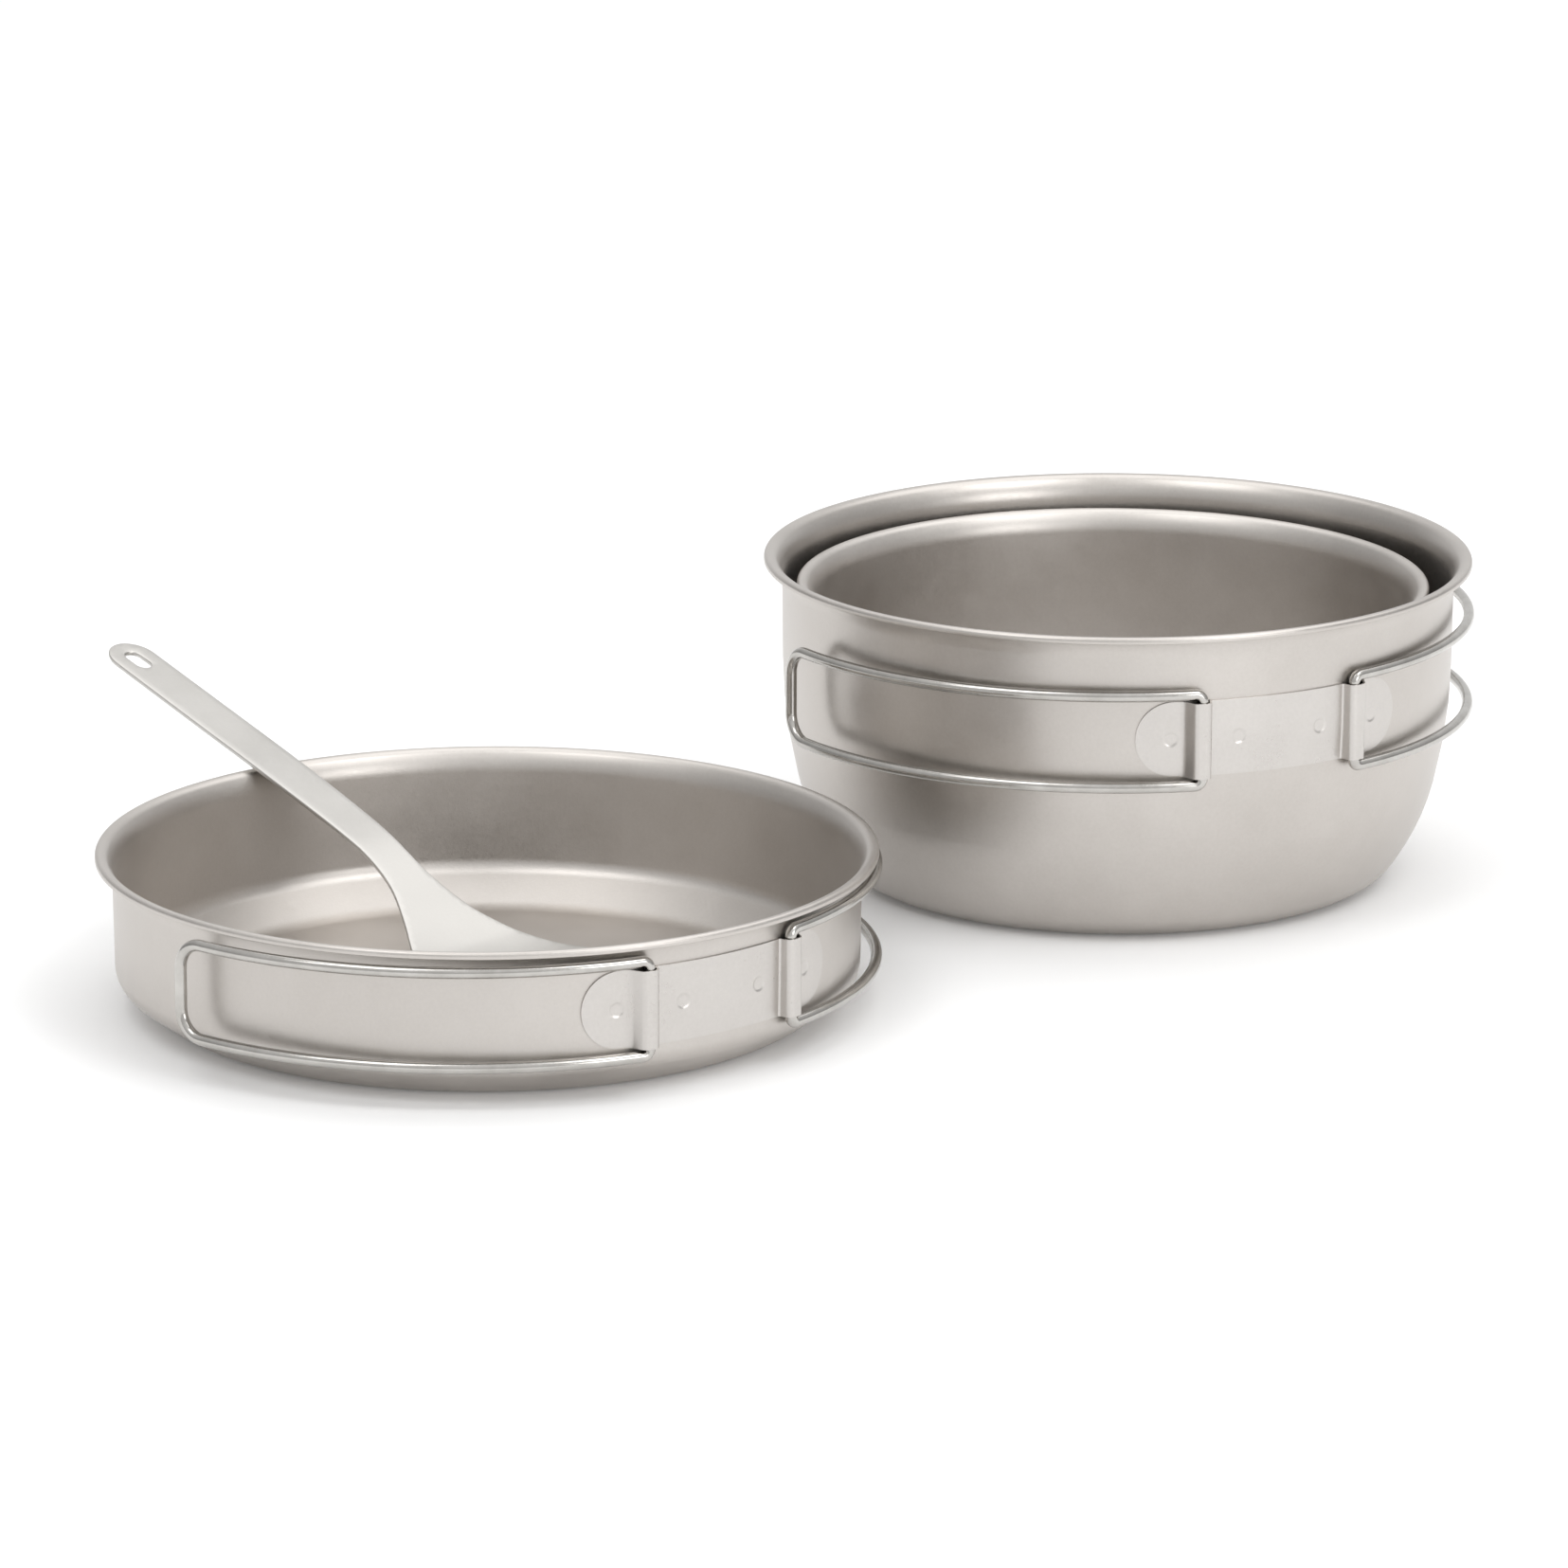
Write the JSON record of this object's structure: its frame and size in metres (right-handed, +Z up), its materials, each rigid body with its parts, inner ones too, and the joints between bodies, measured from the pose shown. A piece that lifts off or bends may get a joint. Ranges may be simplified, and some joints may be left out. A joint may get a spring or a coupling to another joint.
{
  "type": "cooking pot set",
  "caption": "Nesting camp cook set: deep pot holding a bowl, shallow pan with a dished ladle resting in it, folding wire handles on sheet-metal hinge straps.",
  "frame": {"origin": "centre of the pot's flat base, on the surface it stands on", "axes": "+Z up, +Y away from the handle side, +X to the right, towards the pot and away from the pan"},
  "size_m": [0.3651, 0.3224, 0.0872],
  "materials": {
    "titanium": "bead-blasted satin titanium sheet",
    "titanium_strap": "fine satin titanium strip, faint upright grain",
    "titanium_ladle": "matte bead-blasted titanium",
    "polished_wire": "polished stainless wire"
  },
  "bodies": {
    "pot": {"pot_shell": "titanium", "pot_hinge_strap": "titanium_strap"},
    "bowl": {"bowl_shell": "titanium"},
    "pan": {"pan_shell": "titanium", "pan_hinge_strap": "titanium_strap"},
    "pot_handle_left": {"pot_left_handle": "polished_wire"},
    "pot_handle_right": {"pot_right_handle": "polished_wire"},
    "pan_handle_left": {"pan_left_handle": "polished_wire"},
    "pan_handle_right": {"pan_right_handle": "polished_wire"},
    "ladle": {"ladle": "titanium_ladle"}
  },
  "joints": [
    {"name": "bowl_lift", "type": "slide", "parent": "pot", "child": "bowl", "axis": [0, 0, 1], "range_m": [0, 0.1]},
    {"name": "pan_lift", "type": "slide", "parent": "pot", "child": "pan", "axis": [0, 0, 1], "range_m": [0, 0.15]},
    {"name": "ladle_lift", "type": "slide", "parent": "pan", "child": "ladle", "axis": [0, 0, 1], "range_m": [0, 0.12]},
    {"name": "pot_left_handle_hinge", "type": "hinge", "parent": "pot", "child": "pot_handle_left", "pos_m": [0.01916, -0.08957, 0.0589], "axis": [0, 0, 1], "range_deg": [0, 139.5]},
    {"name": "pot_right_handle_hinge", "type": "hinge", "parent": "pot", "child": "pot_handle_right", "pos_m": [0.05952, -0.06962, 0.0589], "axis": [0, 0, -1], "range_deg": [0, 139.5]},
    {"name": "pan_left_handle_hinge", "type": "hinge", "parent": "pan", "child": "pan_handle_left", "pos_m": [-0.12239, -0.21536, 0.0234], "axis": [0, 0, 1], "range_deg": [0, 137.5]},
    {"name": "pan_right_handle_hinge", "type": "hinge", "parent": "pan", "child": "pan_handle_right", "pos_m": [-0.0875, -0.1869, 0.0234], "axis": [0, 0, -1], "range_deg": [0, 137.5]}
  ]
}
